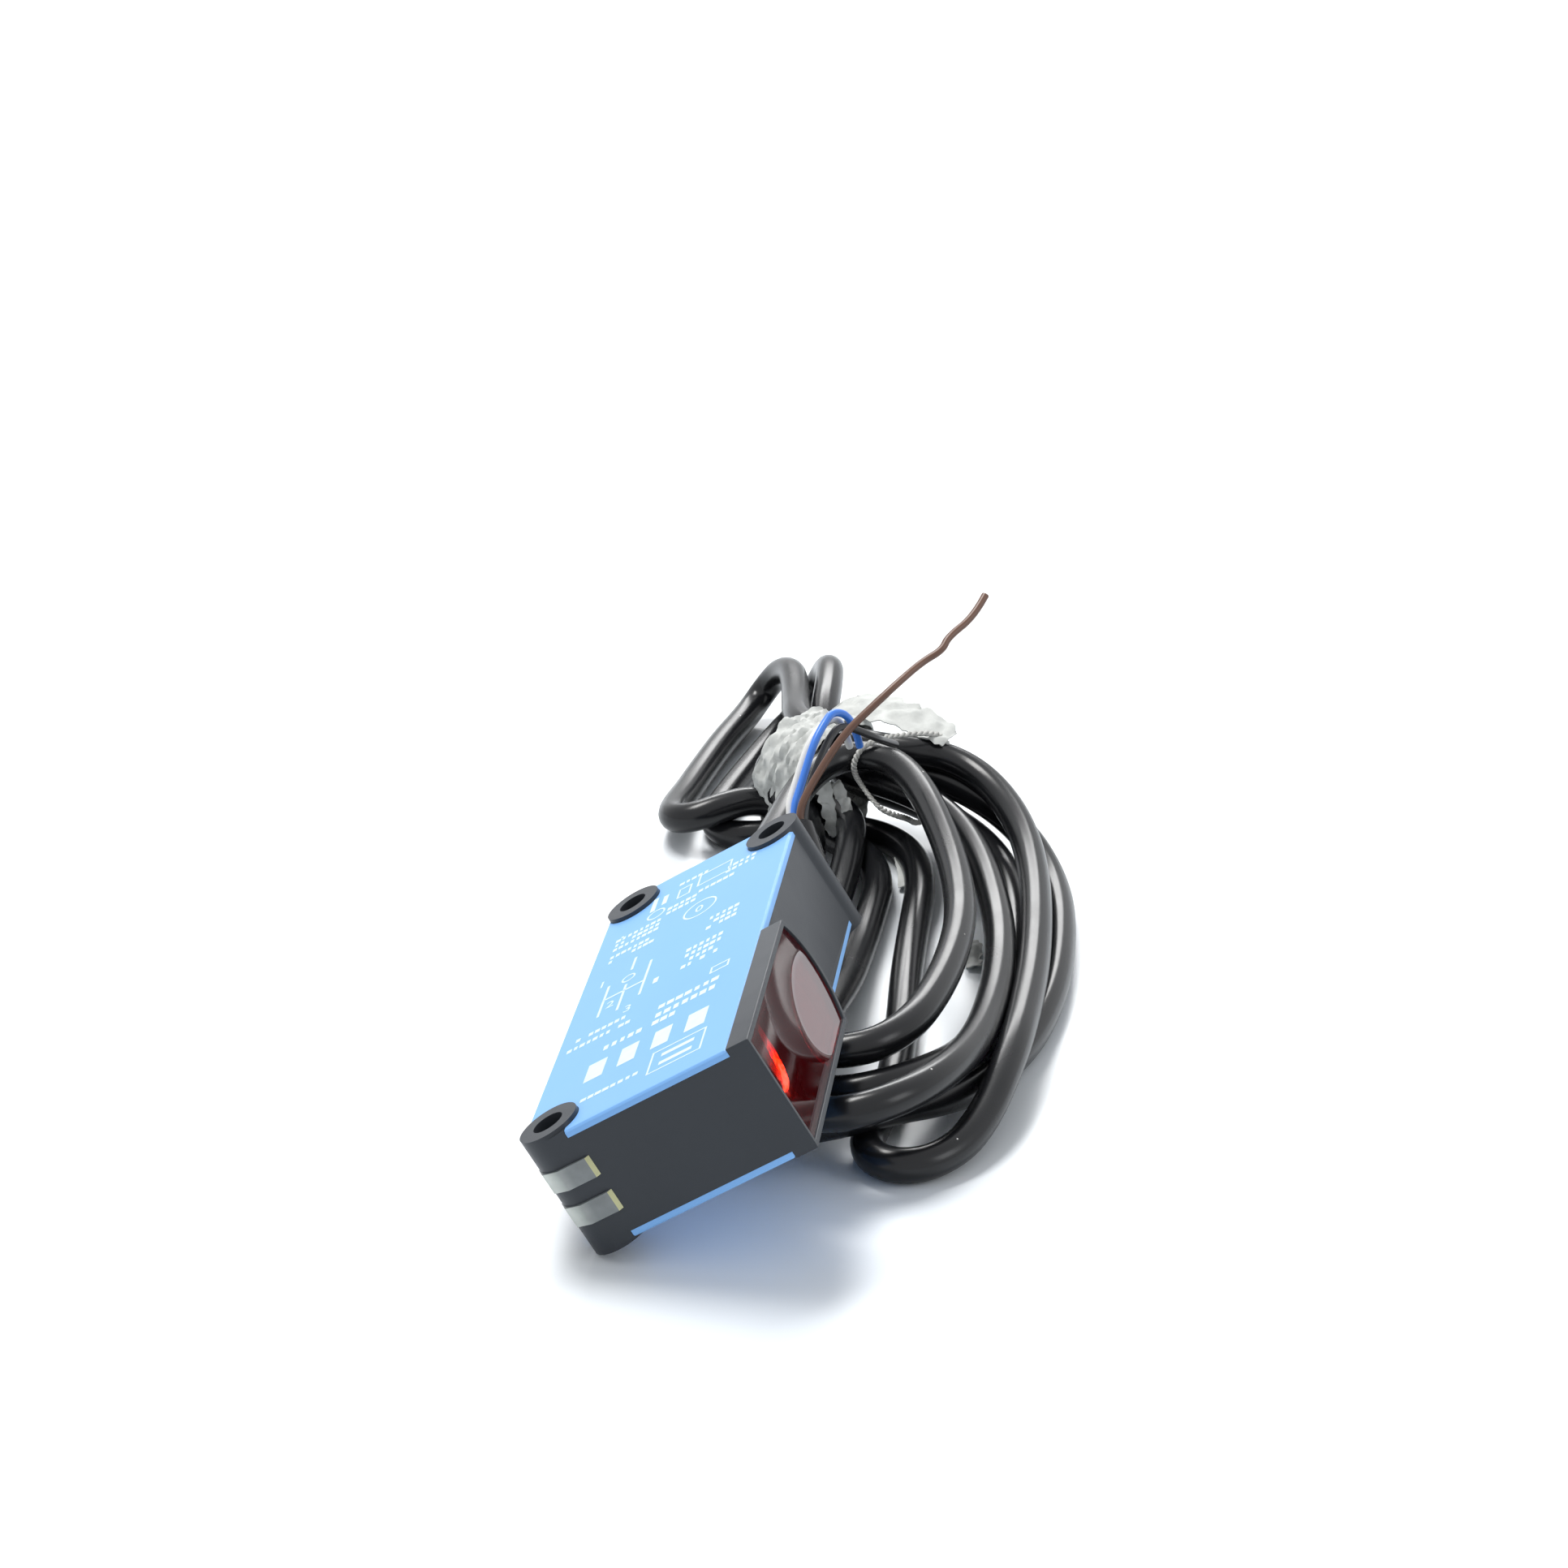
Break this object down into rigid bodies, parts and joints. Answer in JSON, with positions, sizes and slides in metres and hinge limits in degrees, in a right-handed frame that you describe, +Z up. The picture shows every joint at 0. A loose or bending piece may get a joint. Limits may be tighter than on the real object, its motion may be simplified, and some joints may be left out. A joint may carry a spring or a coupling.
{
  "type": "photoelectric sensor",
  "caption": "Slim rectangular photoelectric sensor with red window, two blue side covers, eyelets and a tied hank of moulded-in black cable with four bare-ended cores.",
  "frame": {"origin": "bottom centre of the sensor's own box, on the surface that the sensor and its cable lie on", "axes": "+Z up; +Y along the sensor from its indicator end to its cable end; +X towards the side that the red window faces, level with the surface, while the sensor itself is tipped 31.4 degrees about Y so that its lens side is raised"},
  "size_m": [0.0688, 0.1945, 0.0469],
  "materials": {
    "housing_black": "fine matt texture, charcoal black",
    "cover_blue": "satin sky blue",
    "window_red": "polished dark red PMMA",
    "seal_black": "soft black",
    "guide_clear": "clear moulded plastic",
    "optics_black": "matt black",
    "lens_clear": "polished clear PMMA",
    "film_grey": "grey polarising film",
    "led_red": "clear epoxy over a red die",
    "led_green": "green diffused epoxy",
    "led_yellow": "yellow diffused epoxy",
    "board_green": "green solder mask",
    "chip_black": "moulded epoxy",
    "capacitor_tan": "ceramic",
    "tinned_steel": "tinned sheet",
    "pin_gold": "gold plated",
    "gland_black": "soft moulded",
    "jacket_black": "glossy black PVC",
    "tape_white": "crumpled torn tape",
    "tie_grey": "thin twisted tie",
    "core_brown": "PVC insulation",
    "core_white": "PVC insulation",
    "core_blue": "PVC insulation",
    "core_black": "PVC insulation"
  },
  "bodies": {
    "root": {"housing_frame": "housing_black", "label_cover": "cover_blue", "rear_cover": "cover_blue", "window_frame": "housing_black", "window_seal": "seal_black", "front_window": "window_red", "power_light_guide": "guide_clear", "status_light_guide": "guide_clear", "optics_carrier": "optics_black", "sender_lens": "lens_clear", "receiver_lens": "lens_clear", "sender_polarising_film": "film_grey", "receiver_polarising_film": "film_grey", "sender_red_led": "led_red", "receiver_photodiode": "chip_black", "optics_board": "board_green", "main_board": "board_green", "power_indicator_led": "led_green", "status_indicator_led": "led_yellow", "shield_can": "tinned_steel", "amplifier_chip": "chip_black", "evaluation_chip": "chip_black", "output_driver": "chip_black", "board_capacitors": "capacitor_tan", "protection_diodes": "chip_black", "board_link_pins": "pin_gold", "cable_gland": "gland_black", "cable_clamp": "tinned_steel", "brown_inner_lead": "core_brown", "white_inner_lead": "core_white", "blue_inner_lead": "core_blue", "black_inner_lead": "core_black", "cable_lead": "jacket_black", "cable_free_end": "jacket_black", "brown_conductor": "core_brown", "blue_conductor": "core_blue", "white_conductor": "core_white", "black_conductor": "core_black", "cable_hank": "jacket_black", "binding_tape": "tape_white", "twist_tie": "tie_grey"}
  },
  "joints": []
}
